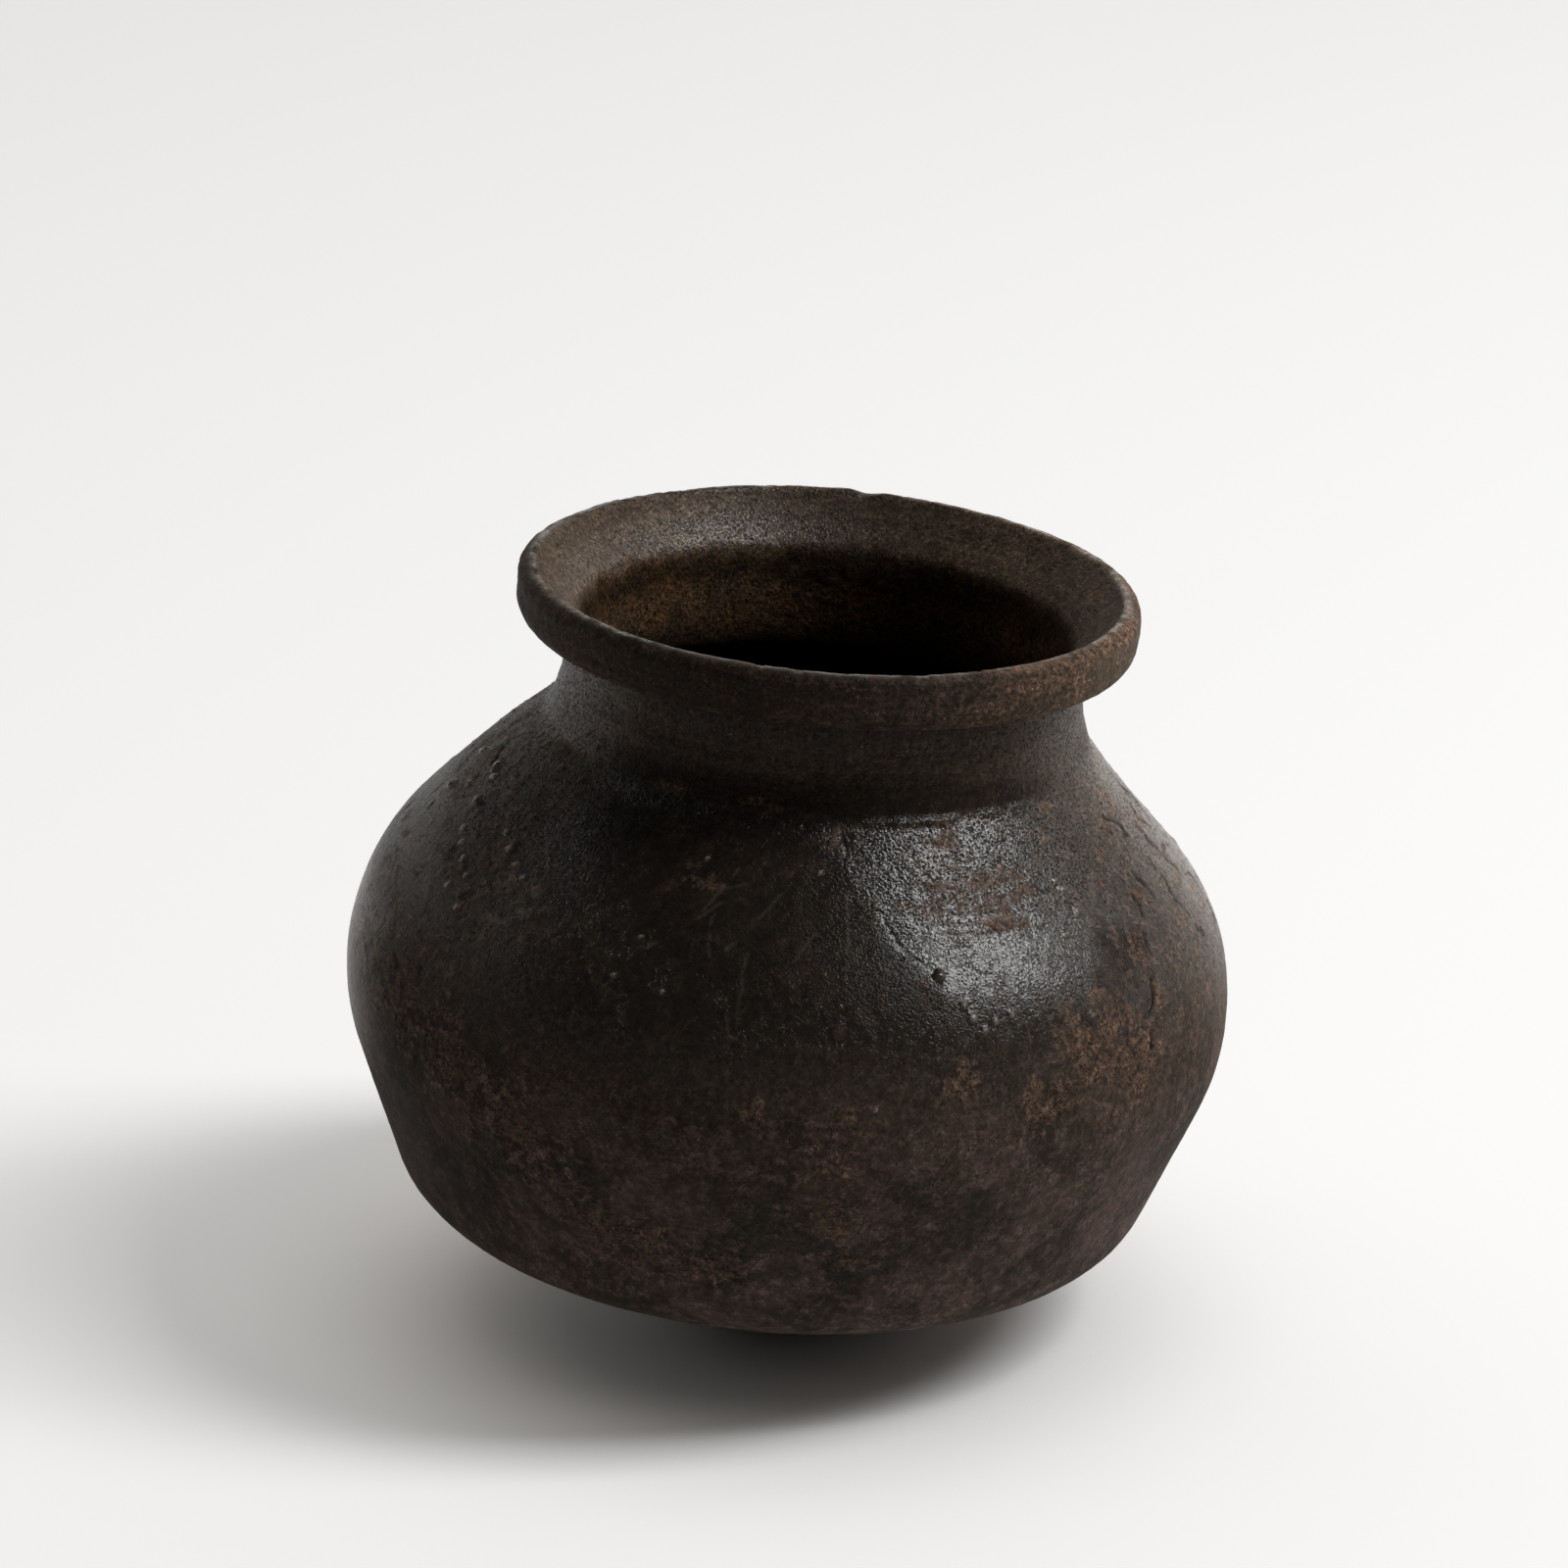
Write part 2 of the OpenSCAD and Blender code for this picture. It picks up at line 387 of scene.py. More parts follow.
# Strips of rough, scaly clay, in the same terms
SCALE_TRACE = (22.0, 5.0)
SCALES = (
    ((-76, 125), (-56, 113), (-45, 104), (-34, 88)), ((-94, 180), (-76, 172), (-66, 160), (-52, 150)),
    ((150, 122), (165, 108), (172, 96)))

# Edge where the skin has flaked away on the left of it, as (height, angle), and how far noise frays an edge
FLAKE_EDGE = ((141, 24), (143, 22), (148, 18.5), (158, 13.5), (164, 12), (173, 7.5), (178, 3), (181, 1))
RAGGED = 2.5

# Beads of slag on the skin: angle, height, radius; those below a radius are pale on top, as grain and as a
# painted glint
PALE_BEAD = 1.6
BEADS = (
    (20.2, 148.5, 1.7), (23, 141.7, 1.3), (24, 138.4, 1.5), (27.2, 137, 1.2), (29.8, 138, 1.1),
    (25.5, 135, 1.0), (11.8, 164, 1.1), (43.8, 153, 1.0), (42.8, 134, 0.9), (33.5, 111.5, 1.1),
    (10.5, 115.7, 0.9), (46.8, 164.4, 0.9), (48, 162.3, 0.9), (50.3, 169.5, 0.8), (2.2, 171, 0.9),
    (-24, 151.6, 0.9), (-25.8, 142, 1.0), (-18.5, 140.7, 0.9), (-18, 171.3, 0.9), (-68.5, 157, 1.3),
    (-66, 154.6, 1.1), (-62.5, 152.4, 1.4), (-59, 150, 1.0), (-58, 162, 1.1), (-54.5, 159.6, 1.4),
    (-51, 157.3, 1.2), (-48, 155.5, 1.0), (-61, 146, 1.2), (-56, 143, 1.0), (-77, 170, 2.0),
    (-74.5, 168.4, 1.5), (-72, 163, 1.8), (-89, 168, 1.9), (-86, 159, 2.0), (-80, 163, 1.4))

# Noise fields of the surface: cell in mm, number of layers, seed
FIELDS = {
    "swell": (70.0, 1, 1), "lump": (26.0, 1, 2), "dimple": (11.0, 1, 3), "leather": (3.4, 3, 4),
    "grain": (7.0, 4, 11), "crust": (30.0, 1, 31), "flake": (5.0, 3, 51), "flake_edge": (9.0, 4, 73),
    "scuff": (3.0, 2, 75), "gouge": (4.0, 2, 77), "ripple": (2.6, 1, 81), "wave": (5.0, 1, 82),
    "pitting": (3.2, 3, 83), "worn": (2.4, 2, 85), "fold": (2.0, 1, 87), "grit": (2.2, 2, 91),
    "chip": (5.0, 3, 95), "deep_edge": (9.0, 3, 97), "scale": (5.0, 3, 99), "seam": (4.5, 1, 101)}

# Scattered domes: cell in mm, share of the cells that hold one, seed
BLISTERS = (5.0, 0.26, 41)
SMALL_BLISTERS = (2.6, 0.35, 43)
PITS = (3.2, 0.30, 61)

# How far a field is squeezed across the pot's axis, which draws it out round the pot
LEVEL_SQUEEZE = 0.05
FOLD_SQUEEZE = 0.4

# Heights of the noise fields and of the marks on the surface, in mm
FIELD_HEIGHTS = {
    "swell": 0.40, "lump": 0.16, "dimple": 0.06, "leather": 0.06, "ripple": 0.18, "wave": 0.08,
    "pitting": 0.12, "fold": 0.14}
MARK_HEIGHTS = {
    "blister": 0.45, "bead": 0.50, "lifted": 0.22, "crack": -0.70, "hairline": -0.16, "scale": 0.20,
    "seam": -0.25, "flake": -0.10}
SKIN_HEIGHT = 0.10
WORN_HEIGHT = 0.14
WORN_LEFT_HEIGHT = 0.16
WORN_DEPTH = 0.05
PIT_DEPTH = 0.26
FUNNEL_GRIT = 0.10
DEEP_GRIT = 0.16

# Raised line at the neck's foot: height, half width
FOOT_LINE = (0.55, 0.8)

# Notch in the back of the lip: depth, angle, half width in degrees, half length along the section
NOTCH = (0.9, 172, 1.6, 4.0)

# Chips along the lip: depth, half length along the section
LIP_CHIPS = (0.25, 2.5)

# Shares that face a way round the pot: angle, and the cosines from it where they start and are whole
# The share towards the lamp and the lit inside carry painted light in the tone; the front's share carries a
# painted highlight on the lip's crest
FACING = {
    "painted_lamp_light": (102, -0.7, 1.0), "mirrored": (-115, -0.2, 0.8), "lit_inside": (-100, 0.0, 0.9),
    "low_right": (90, 0.3, 0.9), "foot_line": (34, 0.86, 0.96), "front": (0, 0.0, 0.5)}

# How far each mark bares the clay, and how far each is filled with soot
BARED = {
    "flake": 0.6, "worn_lip": 0.8, "rub": 0.7, "crest": 0.6, "bead": 0.2, "blister": 0.4, "gouge": 0.3,
    "scale": 0.45}
SOOTED = {"crack": 1.6, "hairline": 0.8, "seam": 0.8}

# Tone of the outside by zone: level, painted light towards the lamp, more where it faces the lamp full on,
# and what the left side adds
OUTSIDE_TONES = {
    "body": (0.98, 0.75, 0.0, -0.12), "neck": (0.78, 0.30, 0.4, 0.4), "band": (0.36, 0.25, 1.9, 0.3)}

# Tone of the inside by zone: level, the painted light added on the left that the lamp lights, and what the
# low right adds
INSIDE_TONES = {"funnel": (1.2, 1.1, 0.9), "deep": (1.0, 0.9, 1.2)}


class Finish:
    """Fired and worn surface over a chart, as shares from 0 to 1 of its zones, sides and marks."""

    def __init__(self, chart):
        self.chart = chart
        self.grain = self.field("grain")
        self.lay_zones()
        self.lay_sides()
        self.lay_wear()
        self.lay_lines()
        self.lay_crust()

    def field(self, name, squeeze=1.0):
        """Named noise field, squeezed across the pot's axis."""
        return layers(self.chart.points*[squeeze, squeeze, 1.0], *FIELDS[name])

    def raised(self, name, squeeze=1.0):
        """Named noise field at its height in mm."""
        return FIELD_HEIGHTS[name]*self.field(name, squeeze)

    def above(self, low, high):
        """Share that grows from 0 to 1 between two heights on the pot."""
        return smooth(self.chart.height, low, high)

    def past(self, station, start, end):
        """Share that grows from 0 to 1 between two lengths along the section, told from a station."""
        return smooth(self.chart.length - station, start, end)

    def near(self, station, width):
        """Bell curve of the length along the section from a station."""
        return bell(self.chart.length - station, width)

    def facing(self, name):
        """Share that faces a named way: eased step of the cosine of the angle from it."""
        angle, start, whole = FACING[name]
        return smooth(np.cos(self.chart.angle - math.radians(angle)), start, whole)

    def weighed(self, weights):
        """Sum of the named marks, each times its weight."""
        return sum(weight*getattr(self, name) for name, weight in weights.items())

    def lay_zones(self):
        """Zones from the body up to the band, over the lip and in, each blended into the next."""
        self.outside = 1 - self.past(POT.lip, -1, 3)
        self.body = 1 - self.past(POT.foot, -3, 3)
        self.band = self.outside*self.past(POT.seat, 1, 5)
        self.neck = self.outside - self.body - self.band
        self.deep = self.past(POT.throat - RAGGED*self.field("deep_edge"), -3, 5)
        self.funnel = 1 - self.outside - self.deep
        self.collar = self.neck + self.band
        self.upper = self.above(92, 152)*self.body

    def lay_sides(self):
        """Shares of the flanks, of the right and the left, half each at the back, and of the side towards the
        lamp, which the tone paints lighter.
        """
        degrees = self.chart.degrees
        back = smooth(np.abs(degrees), 125, 170)
        self.sides = smooth(np.abs(degrees), 36, 64)
        self.right = smooth(degrees, 42, 66)*(1 - back) + 0.5*back
        self.left = smooth(-degrees, 25, 60)*(1 - back) + 0.5*back
        self.painted_lamp_light = self.facing("painted_lamp_light")

    def rubbed(self, places):
        """Strongest of several soft ovals, their edges broken up by grain."""
        worn = np.zeros(self.grain.shape)
        for *oval, strength in places:
            spot = self.chart.patch(*oval)
            worn = np.maximum(worn, strength*smooth(spot + 0.35*self.grain, -0.45, 0.75))
        return worn

    def lay_wear(self):
        """Worn places, the rubbed lip and its crest, the dull patch painted darker as shade, the whole skin,
        and the dust at the edges, lightened too as painted sheen.
        """
        self.worn = self.rubbed(WORN)*(self.body + self.neck)
        self.worn_lip = self.rubbed(WORN_LIP)
        # The lip's crest, bare and polished, with a painted highlight at its front added to the pale marks
        self.crest = self.near(POT.lip - 0.4, 1.1)*smooth(self.grain, -0.9, 0.1)
        # Dull patch of whole skin, whose darker colour is painted shade
        self.dull_skin_and_shade = smooth(self.chart.patch(*DULL_SKIN_AND_SHADE_PATCH) + 0.3*self.grain, 0.0, 0.6)
        self.intact = self.whole_skin()
        degrees = self.chart.degrees
        # Dust near the left and right edges, which the tone also lightens to paint the sheen there
        belly_dust_and_sheen = self.above(74, 100)*(1 - 0.85*self.above(122, 142))*self.body
        edge_dust_and_sheen = belly_dust_and_sheen*smooth(-degrees, 58, 92) + self.upper*smooth(degrees, 60, 92)
        self.dust_and_sheen = edge_dust_and_sheen*(1 - smooth(np.abs(degrees), 98, 135))

    def whole_skin(self):
        """Share of whole skin: 1 right of the flaked edge and far to its left, 0.2 just left of it."""
        chart = self.chart
        heights, angles = np.array(FLAKE_EDGE).T
        gap = np.radians(chart.degrees - np.interp(chart.height, heights, angles))*chart.radius
        gap = gap + RAGGED*self.field("flake_edge")
        span = self.above(132, 146)*(1 - self.above(176, 182))
        return 1 - 0.8*span*(1 - smooth(gap, -7, 3))*smooth(gap, -90, -60)

    def lay_lines(self):
        """Lines broken up by noise: cracks and their lifted edges, hairlines, scratches, rubs, gouges."""
        traces = self.chart.traces
        scuffed = smooth(self.field("scuff"), -0.6, 0.3)
        torn = traces(CRACKS, *CRACK_TRACE)*self.body*smooth(self.grain, -0.9, -0.1)
        self.crack = np.clip(2.7*torn - 1.45, 0, 1)
        self.lifted = smooth(torn, 0.05, 0.55)
        self.hairline = traces(HAIRLINES, *HAIRLINE_TRACE)*smooth(self.grain, -0.9, -0.2)
        self.scratch = traces(SCRATCHES, *SCRATCH_TRACE)*scuffed
        self.rub = traces(RUBS, *RUB_TRACE)*scuffed
        self.gouge = traces(GOUGES, *GOUGE_TRACE)*smooth(self.field("gouge"), -0.8, 0.0)

    def lay_crust(self):
        """Crust with its blisters, beads of slag, flakes, pits, and scaly strips with plates and seams."""
        points = self.chart.points
        crust = smooth(self.field("crust") + 0.55*self.sides, 0.1, 0.7)
        self.crust = crust*self.above(118, 140)*self.body
        self.blister = domes(points, *BLISTERS)*self.crust + 0.6*domes(points, *SMALL_BLISTERS)*self.crust
        self.bead, self.pale = self.slag()
        self.flake = smooth(self.field("flake"), 0.62, 0.74)*self.upper*(0.15 + 0.85*self.sides)
        self.cover = self.upper*(1 - 0.8*self.flake)
        self.pits = domes(points, *PITS)
        strip = self.chart.traces(SCALES, *SCALE_TRACE) + 0.3*self.grain
        self.scaly = smooth(strip, 0.1, 0.7)*self.body
        self.scale = self.scaly*smooth(self.field("scale"), 0.05, 0.45)
        self.seam = self.scaly*(1 - smooth(np.abs(self.field("seam")), 0.0, 0.16))

    def slag(self):
        """Height of the half-round beads, in mm, and the share of pale grain at the small ones' tops, which
        also paints their glint.
        """
        height, pale = np.zeros((2, *self.grain.shape))
        for angle, place, radius in BEADS:
            x, y = self.chart.offsets(angle, place)
            dome = np.sqrt(np.clip(1 - (x*x + y*y)/radius**2, 0, 1))
            height = np.maximum(height, radius*dome)
            if radius < PALE_BEAD:
                pale = np.maximum(pale, dome**5)
        return height, pale

    def height(self):
        """Height over the section, in mm: swells of the wall, marks, and the texture of each zone."""
        body, band, collar, left = self.body, self.band, self.collar, self.left
        height = self.raised("swell")*self.outside + self.raised("lump") + self.raised("dimple")
        height = height + self.raised("leather")*self.outside
        height = height + self.weighed(MARK_HEIGHTS) + SKIN_HEIGHT*self.intact*body
        rough = (WORN_HEIGHT + WORN_LEFT_HEIGHT*left)*self.field("worn")
        height = height + self.worn*(rough + self.raised("fold", FOLD_SQUEEZE) - WORN_DEPTH)*body
        pitted = 0.25*body*(1 - self.upper) + 0.5*band + 0.9*left*collar
        height = height - PIT_DEPTH*self.pits*pitted
        height = height + self.raised("ripple", LEVEL_SQUEEZE)*collar
        height = height + self.raised("wave", LEVEL_SQUEEZE)*(collar + self.funnel)
        height = height + self.raised("pitting")*(band + left*self.neck)
        height = height + self.field("grit")*(FUNNEL_GRIT*self.funnel + DEEP_GRIT*self.deep)
        return height + self.foot_line() - self.lip_wear()

    def foot_line(self):
        """Raised line along part of the neck's foot: a bell across it, broken up by grain."""
        height, width = FOOT_LINE
        line = self.near(POT.foot - 0.5, width)*self.facing("foot_line")
        return height*line*smooth(self.grain, -0.8, 0)

    def lip_wear(self):
        """Depth of the lip's notch, a bell both ways, and of the chips along the lip."""
        depth, angle, width, length = NOTCH
        notch = depth*bell(self.chart.degrees - angle, width)*self.near(POT.lip - 1, length)
        depth, length = LIP_CHIPS
        return notch + depth*smooth(self.field("chip"), 0.35, 0.6)*self.near(POT.lip, length)

    def rough(self):
        """Share of coarse polish: the top of the shoulder, the neck and the funnel."""
        return self.above(152, 164)*self.body + self.neck + self.funnel

    def polish(self):
        """Share of burnish: most at the front of the shoulder, with the edges of dust and sheen, beads,
        crest, neck and funnel.
        """
        shoulder = self.cover*self.intact*(1 - 0.9*self.gouge)*self.above(108, 148)
        shoulder = shoulder*(1 - 0.58*self.right - 0.72*self.left)
        shoulder = shoulder*(1 + 0.15*self.rough())*(1 - 0.4*self.crust*self.left)
        mouth = smooth(self.chart.length, POT.lip + 1, POT.throat - 2)
        funnel = self.funnel*(0.10 + 0.70*self.facing("mirrored")*mouth)
        collar = self.neck*(0.10 + 0.30*self.sides) + 0.05*self.band
        polish = shoulder + collar + funnel + 0.6*self.dust_and_sheen + 0.6*np.clip(self.bead, 0, 1) + self.crest
        return polish*(1 - 0.65*self.dull_skin_and_shade)

    def tone(self):
        """Level that scales the clay's colour, zone by zone: its tone and dust, with painted light, sheen and
        shade.
        """
        painted_lamp_light, left = self.painted_lamp_light, self.left
        # The side towards the lamp is painted lighter, most of all on the band
        body, neck, band = [level + sun*painted_lamp_light + full_sun*painted_lamp_light**2 + left_side*left
                            for level, sun, full_sun, left_side in OUTSIDE_TONES.values()]
        # The edges are lightened for dust and painted sheen; the clay is lighter low down and darker low on
        # the left
        body = body + 1.5*self.dust_and_sheen + 0.3*(1 - self.above(35, 85)) - 0.22*left*(1 - self.above(72, 98))
        # Painted shade on the neck just under the band
        neck = neck*(1 - 0.45*self.near(POT.seat - 1, 5)**2)
        # Painted highlight: a lighter line along the band's lower round
        band = band + 0.2*self.near(POT.seat + 14, 2.5)**2*smooth(self.grain, -0.7, 0.3)
        # Painted light on the inside's left, which the lamp lights; the low right is lightened too
        lit, low_right = self.facing("lit_inside"), self.facing("low_right")
        funnel, deep = [level + lit_left*lit + right*low_right
                        for level, lit_left, right in INSIDE_TONES.values()]
        # Painted shadow just below the throat, and painted shade darkening to black deep inside
        throat_shadow = self.near(POT.throat + 5 - 3*self.grain, 6)**2
        deep = deep*(1 - 0.7*throat_shadow)*(1 - 0.85*self.past(POT.throat, 15, 32))
        return body*self.body + neck*self.neck + band*self.band + funnel*self.funnel + deep*self.deep

    def masks(self):
        """Values that the clay's material reads at each point, by name."""
        body, upper, right, left = self.body, self.upper, self.right, self.left
        dark_foot = self.neck*(1 - 0.75*self.past(POT.foot, 0, 16))*(1 - 0.6*self.sides)
        belly = self.above(84, 108)*(1 - self.above(122, 150))
        flanks = 0.8*upper*(right + left)*(1 - 0.7*self.dull_skin_and_shade)
        # Pale scratches, and a painted highlight along the lip's crest at the front
        scratches_and_crest_highlight = 0.13*self.scratch*body + 0.22*self.crest*self.facing("front")
        scaly = self.scaly + self.crust*self.sides*(1 - 0.5*right)
        shares = {
            # The dull patch adds black skin and takes away film, painted darker as shade
            "skin": self.cover*(1 - 0.55*right - 0.70*left) + dark_foot + 0.4*self.dull_skin_and_shade,
            "film": self.collar + self.funnel + flanks + 0.3*belly,
            "polish": self.polish(),
            "worn": self.worn + self.worn_lip + 0.5*self.band*(1 - right),
            "bare": self.weighed(BARED) + 0.35*self.lifted*self.sides,
            # Pale marks: grain and scratches, with painted glints on beads and a painted highlight on the
            # crest
            "pale": self.pale*body + scratches_and_crest_highlight,
            "scaly": scaly + 0.6*self.worn*body + 0.3*body*(1 - upper),
            "crack": self.weighed(SOOTED),
            "sand": self.funnel + self.deep,
        }
        masks = {name: np.clip(share, 0, 1) for name, share in shares.items()}
        return masks | {"tone": self.tone(), "rough": self.rough(), "deep": self.deep}


def stand(points):
    """Pot frame to world, in metres: the collar's shift, the lean, and the worn flat set on the ground."""
    x, y, z = np.moveaxis(points, -1, 0)
    x = x + COLLAR_SHIFT*smooth(z, *SHIFT_SPAN)
    lean = math.radians(LEAN)
    rest = math.sqrt(CROWN_ROUND**2 - FLAT_RADIUS**2) - CROWN_ROUND*math.cos(lean)
    world_x = x*math.cos(lean) + z*math.sin(lean) - CROWN_ROUND*math.sin(lean)
    world_z = z*math.cos(lean) - x*math.sin(lean) + rest
    return MM*np.stack([world_x, y, np.maximum(world_z, 0)], -1)


def finished(length):
    """World places, normals and masks of the finished surface along rows of the section.

    A row is added at each end, so that the normals at a joint are those of the whole pot.
    """
    u = np.linspace(-math.pi, math.pi, COLUMNS, endpoint=False)
    angle = u - FRONT_CROWDING*np.sin(u)
    ends = np.r_[2*length[0] - length[1], length, 2*length[-1] - length[-2]]
    chart = Chart(np.clip(ends, POLE_LIMIT, POT.end - POLE_LIMIT), angle)
    finish = Finish(chart)
    out = np.stack([chart.out*chart.sine, -chart.out*chart.cosine, chart.up], -1)
    places = stand(chart.points + finish.height()[..., None]*out)
    wrapped = np.concatenate([places[:, -1:], places, places[:, :1]], 1)
    along = np.gradient(wrapped, axis=0)[1:-1, 1:-1]
    across = (wrapped[:, 2:] - wrapped[:, :-2])[1:-1]
    normals = np.cross(across, along)
    normals /= np.linalg.norm(normals, axis=-1, keepdims=True)
    return places[1:-1], normals, {name: mask[1:-1] for name, mask in finish.masks().items()}


def rows(start, end, first_step, last_step):
    """Lengths from start to end, whose steps grow evenly from the first to the last."""
    count = max(2, round(abs(end - start)*2/(first_step + last_step)))
    steps = np.linspace(first_step, last_step, count)
    return start + (end - start)*np.r_[0, np.cumsum(steps)/steps.sum()]


def ring_faces(row_count, closed):
    """Quads of a grid that wraps round its columns, and round its rows too where it is closed."""
    last = row_count if closed else row_count - 1
    i, j = np.meshgrid(np.arange(last), np.arange(COLUMNS), indexing="ij")
    k, m = (i + 1) % row_count, (j + 1) % COLUMNS
    corners = np.stack([i*COLUMNS + j, i*COLUMNS + m, k*COLUMNS + m, k*COLUMNS + j], -1)
    return corners.reshape(-1, 4)


def make_piece(name, stretches, material, poles=False):
    """One luted section: its stretches of the surface joined in order and closed, as a mesh.

    With poles, a fan of triangles closes the first and the last row to a point each.
    """
    laid = [finished(stretch) for stretch in stretches]
    places, normals = [np.concatenate([part[i] for part in laid]) for i in (0, 1)]
    masks = {key: np.concatenate([part[2][key] for part in laid]).reshape(-1) for key in laid[0][2]}
    row_count = len(places)
    faces = ring_faces(row_count, not poles).tolist()
    verts, normals = places.reshape(-1, 3), normals.reshape(-1, 3)
    if poles:
        ring = np.arange(COLUMNS)
        near, far = len(verts), len(verts) + 1
        last = (row_count - 1)*COLUMNS + ring
        faces += np.stack([np.full(COLUMNS, near), np.roll(ring, -1), ring], 1).tolist()
        faces += np.stack([np.full(COLUMNS, far), last, np.roll(last, -1)], 1).tolist()
        ends = places[0].mean(0), places[-1].mean(0)
        verts = np.vstack([verts, ends])
        normals = np.vstack([normals, [[0, 0, -1], [0, 0, 1]]])
        masks = {key: np.r_[mask, mask[0], mask[-1]] for key, mask in masks.items()}
    mesh = bpy.data.meshes.new(name)
    mesh.from_pydata(verts, [], faces)
    mesh.polygons.foreach_set("use_smooth", np.ones(len(mesh.polygons), bool))
    for key, mask in masks.items():
        mesh.attributes.new(key, "FLOAT", "POINT").data.foreach_set("value", mask.astype(np.float32))
    mesh.normals_split_custom_set_from_vertices(normals)
    mesh.materials.append(material)
    piece = bpy.data.objects.new("clay_" + name, mesh)
    bpy.context.scene.collection.objects.link(piece)
    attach(piece, "root")
    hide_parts(name)


class Nodes:
    """Short calls for building a node tree."""

    def __init__(self, tree):
        self.tree = tree

    def add(self, kind, **values):
        """New node; values set its properties, or its input sockets where the name has a capital."""
        node = self.tree.nodes.new(kind)
        for key, value in values.items():
            if key[0].isupper():
                self.put(node.inputs[key.replace("_", " ")], value)
            else:
                setattr(node, key, value)
        return node

    def put(self, socket, value):
        """Sets a socket to a plain value, or links another node's output to it."""
        if isinstance(value, bpy.types.NodeSocket):
            self.tree.links.new(value, socket)
        else:
            socket.default_value = value

    def mask(self, name):
        """Value of a mask that the mesh carries."""
        return self.add("ShaderNodeAttribute", attribute_name=name).outputs["Fac"]

    def math(self, operation, a, b=0.0):
        """Result of an operation on two numbers."""
        node = self.add("ShaderNodeMath", operation=operation)
        self.put(node.inputs[0], a)
        self.put(node.inputs[1], b)
        return node.outputs[0]

    def times(self, a, b):
        """Product of two numbers."""
        return self.math("MULTIPLY", a, b)

    def plus(self, first, *others):
        """Sum of two or more numbers."""
        for other in others:
            first = self.math("ADD", first, other)
        return first

    def minus(self, a, b):
        """Difference of two numbers."""
        return self.math("SUBTRACT", a, b)

    def most(self, first, *others):
        """Largest of two or more numbers."""
        for other in others:
            first = self.math("MAXIMUM", first, other)
        return first

    def sway(self, value, amount):
        """A noise value brought to swing about zero, by so much."""
        return self.times(self.minus(value, 0.5), amount)

    def step(self, value, low, high, to_low=0.0, to_high=1.0):
        """Eased step of a value between two limits."""
        node = self.add("ShaderNodeMapRange", interpolation_type="SMOOTHSTEP", Value=value,
                        From_Min=low, From_Max=high, To_Min=to_low, To_Max=to_high)
        return node.outputs[0]

    def line(self, value, middle, half_width, strength=1.0):
        """Thin lines along which a value is at its middle, fading out at a half width from it."""
        return self.step(self.math("ABSOLUTE", self.minus(value, middle)), 0.0, half_width, strength, 0.0)

    def mix(self, share, a, b):
        """Colour that is a at share 0 and b at share 1; sockets 6, 7 and 2 are the node's colours."""
        node = self.add("ShaderNodeMix", data_type="RGBA")
        self.put(node.inputs["Factor"], share)
        self.put(node.inputs[6], a)
        self.put(node.inputs[7], b)
        return node.outputs[2]

    def shade(self, shown, level):
        """Colour times a level."""
        return self.add("ShaderNodeVectorMath", operation="SCALE", Vector=shown, Scale=level).outputs[0]

    def noise(self, where, per_metre, detail, rough):
        """Fractal noise of so many waves to the metre."""
        node = self.add("ShaderNodeTexNoise", Vector=where, Scale=per_metre, Detail=detail, Roughness=rough)
        return node.outputs["Fac"]

    def dots(self, where, per_metre, radius):
        """1 at the middle of scattered dots, 0 beyond their radius, in cells of so many to the metre."""
        cells = self.add("ShaderNodeTexVoronoi", Vector=where, Scale=per_metre)
        return self.step(cells.outputs["Distance"], 0.0, radius, 1.0, 0.0)

    def bump(self, height, depth, under=None, strength=1.0):
        """Normal bent by a height of so many metres, over another bump."""
        node = self.add("ShaderNodeBump", Height=height, Distance=depth, Strength=strength)
        if under:
            self.put(node.inputs["Normal"], under)
        return node.outputs[0]


def colour(red, green, blue):
    """Colour with full alpha."""
    return (red, green, blue, 1.0)


BLACK_SKIN = colour(0.0100, 0.0066, 0.0042)
RUSTY_SKIN = colour(0.0150, 0.0094, 0.0050)
BROWN_FILM = colour(0.0405, 0.0270, 0.0178)
GREY_CLAY = colour(0.0215, 0.0168, 0.0125)
PURPLE_CLAY = colour(0.0530, 0.0355, 0.0290)
WORN_CLAY = colour(0.0620, 0.0382, 0.0252)
BARE_CLAY = colour(0.1050, 0.0610, 0.0410)
SANDY_FUNNEL = colour(0.0420, 0.0290, 0.0195)
RUSTY_INSIDE = colour(0.0500, 0.0260, 0.0105)
CRACK_SOOT = colour(0.0034, 0.0024, 0.0018)
PINK_SCALE = colour(0.0900, 0.0600, 0.0470)
# Pale grain, also used for the painted glints on small beads and the painted highlight along the lip's crest
PALE_GRAIN_AND_HIGHLIGHT = colour(0.2200, 0.1900, 0.1550)

# Noise of the clay: waves to the metre, detail, roughness
CLAY_NOISE = {
    "mottle": (38.0, 9.0, 0.60), "cloud": (55.0, 5.0, 0.65), "stain": (150.0, 7.0, 0.68),
    "thread": (210.0, 3.0, 0.6), "bed": (300.0, 3.0, 0.55), "curl": (380.0, 2.0, 0.5),
    "leather": (430.0, 4.0, 0.62), "grain": (900.0, 3.0, 0.7), "pit": (1250.0, 2.0, 0.55)}

# Level streaks: how far they are drawn out, and their noise in the same terms
STREAK_STRETCH = (20, 20, 1)
STREAK_NOISE = (620.0, 3.0, 0.6)

# Raised dots: cells to the metre, radius in a cell
DOTS = (230.0, 0.14)

# Names of the masks that the clay's material reads
CLAY_MASKS = (
    "skin", "film", "polish", "tone", "worn", "bare", "pale", "scaly", "rough", "crack", "sand", "deep")

